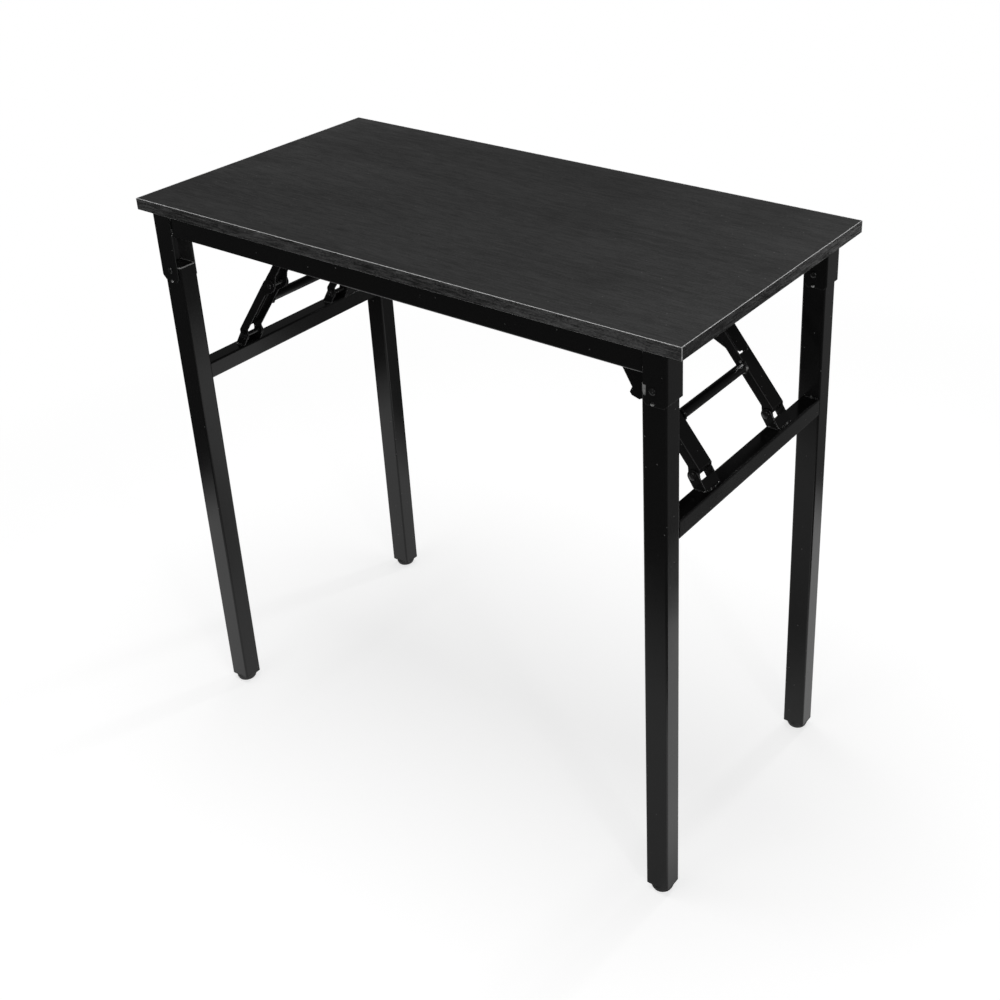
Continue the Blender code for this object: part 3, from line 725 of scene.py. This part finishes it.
def rail_tacks(bm, end, face, side, sign):
    """Two tack welds where a rail's outer face meets a corner bracket."""
    low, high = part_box(f"{end}_rail")
    seam = inner_outer(*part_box(f"{end}_{side}_corner_bracket"), sign)[1] - sign * CHEEK_REACH
    skin_y = low.y if face < 0 else high.y
    lower = (low.z + TACK_LOW[0], low.z + TACK_LOW[1])
    upper = (high.z - TACK_HIGH[0], high.z - TACK_HIGH[1])
    for first, last in (lower, upper):
        bead(bm, (seam, skin_y, first), (seam, skin_y, last), (-sign, face, 0), *TACK_WELD)


def cheek_stud(bm, end, side):
    """Stud heads on both cheeks of a corner bracket, below the leg pivot."""
    low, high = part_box(f"{end}_{side}_corner_bracket")
    pin = middle_of(f"{end}_{side}_leg_pivot_rivet")
    for y, way in ((low.y, -1), (high.y, 1)):
        dome(bm, (pin.x, y, pin.z - STUD_DROP), (0, way, 0), *CHEEK_STUD)


for side, sign in SIDES.items():
    welds, knees, rings = bmesh.new(), bmesh.new(), bmesh.new()
    crossbar_welds(welds, side, sign)
    for end in ENDS:
        knee_rivet(knees, end, side)
        saddle_welds(welds, end, side, sign)
    pull_bar_welds(rings, side)
    keep(knees, f"{side}_knee_rivets", f"{side}_lower_braces", PLATED)
    keep(rings, f"{side}_pull_bar_welds", f"{side}_lower_braces", WELD)
    keep(welds, f"{side}_leg_set_welds", f"{side}_leg_set", WELD)

for side, sign in SIDES.items():
    plates = bmesh.new()
    for end in ENDS:
        head_plate(plates, end, side, sign)
    # The plates take their side's bracket look, with the painted fill light of its hollow.
    keep(plates, f"{side}_leg_head_plates", f"{side}_leg_set", SHELLS[side])

tacks, studs = bmesh.new(), bmesh.new()
for side, sign in SIDES.items():
    for end, face in ENDS.items():
        rail_tacks(tacks, end, face, side, sign)
        cheek_stud(studs, end, side)
keep(tacks, "rail_tack_welds", "top_frame", WELD)
keep(studs, "cheek_studs", "top_frame", BRIGHT)

screws = bmesh.new()
for end in ENDS:
    low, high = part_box(f"{end}_rail")
    for x in SCREW_PLACES:
        under = (x, (low.y + high.y) / 2, low.z)
        revolve(screws, under, (0, 0, -1), SCREW_HEAD, SCREW_STEPS, groove=SCREW_RECESS)
keep(screws, "rail_screws", "top_frame", PLATED)


# Camera, at the photograph's place, turned by degrees about X, Y and Z. FOCAL_SHARE is its focal length in
# picture widths. PHOTO_MIDDLE is where the photograph's perspective is centred, in shares of the picture.

CAMERA_AT = (1.04484, -1.24462, 1.34949)
CAMERA_TURN = (63.7834, 1.0522, 34.2971)
FOCAL_SHARE = 1.422897
PHOTO_MIDDLE = (0.61201, 0.35294)
PICTURE_MIDDLE = 0.5
SENSOR_WIDTH = 36.0
CAMERA_FAR = 50.0

camera = bpy.data.cameras.new("photo_camera")
camera.sensor_width = SENSOR_WIDTH
camera.lens = FOCAL_SHARE * SENSOR_WIDTH
camera.shift_x = PICTURE_MIDDLE - PHOTO_MIDDLE[0]
camera.shift_y = PHOTO_MIDDLE[1] - PICTURE_MIDDLE
camera.clip_end = CAMERA_FAR
viewer = bpy.data.objects.new("photo_camera", camera)
turn = Euler([math.radians(angle) for angle in CAMERA_TURN])
viewer.matrix_world = Matrix.Translation(CAMERA_AT) @ turn.to_matrix().to_4x4()
bpy.context.scene.collection.objects.link(viewer)
bpy.context.scene.camera = viewer


# Floor. What the gloss sees of it is a painted reflection: a glowing pale sheet with a painted shadow under
# the desk, in a dimly glowing room.
# Each of its edges fades over a pair of places, and painted shadow and room go from one level to another in
# the same way.

FLOOR_HALF = 2.0
FLOOR_DROP = 0.0005
FLOOR_PALE = 0.50
FLOOR_GLOW = 0.72
SHADOW_AT = (0.12, 0.1, 0.0)
SHADOW_REACH = (0.9, 1.5)
PAPER_LEFT = (-0.91, -0.75)
PAPER_RIGHT = (0.65, 0.70)
PAPER_FRONT = (-0.73, -0.49)
PAPER_BACK = (0.43, 0.55)
PAPER_SLANT = 0.36
# Painted shadow of the desk, as the gloss sees the floor:
PAINTED_SHADOW_AT = (0.18, -0.21, 0.0)
PAINTED_SHADOW_SQUASH = (1.0, 0.7, 1.0)
PAINTED_SHADOW_LEVELS = (0.16, 0.58)
PAINTED_SHADOW_RISE = (0.20, 0.40)
PAINTED_SHADOW_RIGHT = (0.35, 0.43)
ROOM_DEPTH = (-0.6, 1.6)
ROOM_LEVELS = (0.04, 0.21)


def floor_look():
    """Pale floor that shows white with the desk's shadow, and is clear from below.

    In the desk's gloss it is painted: a glowing sheet of pale paper with a painted shadow under the desk, in
    a dimly glowing room.
    """
    tree = Tree("floor")
    tree.nodes.remove(tree.shader)
    pale = tree.node("ShaderNodeBsdfDiffuse")
    pale.inputs["Color"].default_value = (*grey(FLOOR_PALE), 1.0)

    def distance(centre, squash=1.0):
        made = tree.node("ShaderNodeVectorMath", operation="DISTANCE")
        tree.put(tree.coords(squash), made.inputs[0])
        made.inputs[1].default_value = centre
        return made.outputs["Value"]

    def glow(strength):
        made = tree.node("ShaderNodeEmission")
        tree.put(strength, made.inputs["Strength"])
        return made.outputs[0]

    def lifted(strength):
        made = tree.node("ShaderNodeAddShader")
        tree.put(pale.outputs[0], made.inputs[0])
        tree.put(glow(strength), made.inputs[1])
        return made.outputs[0]

    def mix(factor, a, b):
        made = tree.node("ShaderNodeMixShader")
        for source, target in zip((factor, a, b), made.inputs):
            tree.put(source, target)
        return made.outputs[0]

    place = tree.place()
    x, y = place["X"], place["Y"]
    slant = tree.math("SUBTRACT", y, tree.product(x, PAPER_SLANT))
    paper = tree.product(
        tree.ramp(x, *PAPER_RIGHT, 1.0, 0.0),
        tree.ramp(slant, *PAPER_BACK, 1.0, 0.0),
        tree.ramp(x, *PAPER_LEFT),
        tree.ramp(y, *PAPER_FRONT),
    )
    # Painted shadow of the desk on the sheet, seen only in the gloss.
    painted_shadow = tree.ramp(distance(PAINTED_SHADOW_AT, PAINTED_SHADOW_SQUASH), *PAINTED_SHADOW_RISE, *PAINTED_SHADOW_LEVELS)
    painted_shadow = tree.math("MAXIMUM", painted_shadow, tree.ramp(x, *PAINTED_SHADOW_RIGHT, *PAINTED_SHADOW_LEVELS))
    # The gloss view is a painted reflection: a glowing sheet and a dimly glowing room.
    room = tree.ramp(y, *ROOM_DEPTH, *ROOM_LEVELS)
    painted_reflection = mix(paper, glow(room), lifted(painted_shadow))
    plain_view = mix(tree.ramp(distance(SHADOW_AT), *SHADOW_REACH), lifted(FLOOR_GLOW), glow(1.0))
    rays = tree.node("ShaderNodeLightPath").outputs
    seen = mix(rays["Is Camera Ray"], painted_reflection, plain_view)
    straight = tree.math("MAXIMUM", rays["Is Camera Ray"], rays["Is Glossy Ray"])
    straight = tree.math("MAXIMUM", straight, rays["Is Transmission Ray"])
    above = mix(straight, pale.outputs[0], seen)
    clear = tree.node("ShaderNodeBsdfTransparent").outputs[0]
    final = mix(tree.geometry("Backfacing"), above, clear)
    tree.put(final, tree.nodes["Material Output"].inputs["Surface"])
    return tree.material


sheet = bmesh.new()
corners = [(FLOOR_HALF * x, FLOOR_HALF * y) for x, y in ((-1, -1), (1, -1), (1, 1), (-1, 1))]
sheet.faces.new([sheet.verts.new((x, y, -FLOOR_DROP)) for x, y in corners])
mesh = bpy.data.meshes.new("floor")
sheet.to_mesh(mesh)
sheet.free()
mesh.materials.append(floor_look())
floor = bpy.data.objects.new("floor", mesh)
bpy.context.scene.collection.objects.link(floor)


# Light: a dim sky that the camera sees as white, and square area lights

WHITE = (1.0, 1.0, 1.0, 1.0)
SKY_FILL = 0.08
SKY_SHOWN = 1.0
LAMPS = (
    {"name": "overhead", "place": (-0.1, 0.0, 2.8), "aim": (0.0, 0.0, 0.7), "size": 1.6, "power": 38.0},
    {"name": "front", "place": (-0.5, -2.4, 1.3), "aim": (0.0, -0.2, 0.5), "size": 1.2, "power": 6.0},
    {"name": "side", "place": (2.5, -1.8, 1.3), "aim": (0.3, 0.0, 0.6), "size": 2.0, "power": 14.0},
    {"name": "spark", "place": (2.2, -1.2, 0.9), "aim": (0.3, 0.0, 0.6), "size": 0.2, "power": 5.0},
    {"name": "rim", "place": (0.6, 2.34, 2.45), "aim": (0.3, 0.0, 0.6), "size": 0.25, "power": 9.0},
)

world = bpy.data.worlds.new("studio")
world.use_nodes = True
bpy.context.scene.world = world
sky = world.node_tree
fill = sky.nodes["Background"]
shown = sky.nodes.new("ShaderNodeBackground")
for background, strength in ((fill, SKY_FILL), (shown, SKY_SHOWN)):
    background.inputs["Color"].default_value = WHITE
    background.inputs["Strength"].default_value = strength
rays = sky.nodes.new("ShaderNodeLightPath")
pick = sky.nodes.new("ShaderNodeMixShader")
sky.links.new(rays.outputs["Is Camera Ray"], pick.inputs[0])
sky.links.new(fill.outputs[0], pick.inputs[1])
sky.links.new(shown.outputs[0], pick.inputs[2])
sky.links.new(pick.outputs[0], sky.nodes["World Output"].inputs["Surface"])


def softbox(name, place, aim, size, power):
    """A square area light aimed at a point."""
    lamp = bpy.data.lights.new(name, "AREA")
    lamp.shape = "SQUARE"
    lamp.size = size
    lamp.energy = power
    thing = bpy.data.objects.new(name, lamp)
    thing.location = place
    thing.rotation_euler = (Vector(aim) - Vector(place)).to_track_quat("-Z", "Y").to_euler()
    bpy.context.scene.collection.objects.link(thing)


for lamp in LAMPS:
    softbox(**lamp)

bpy.context.scene.view_settings.view_transform = "Standard"
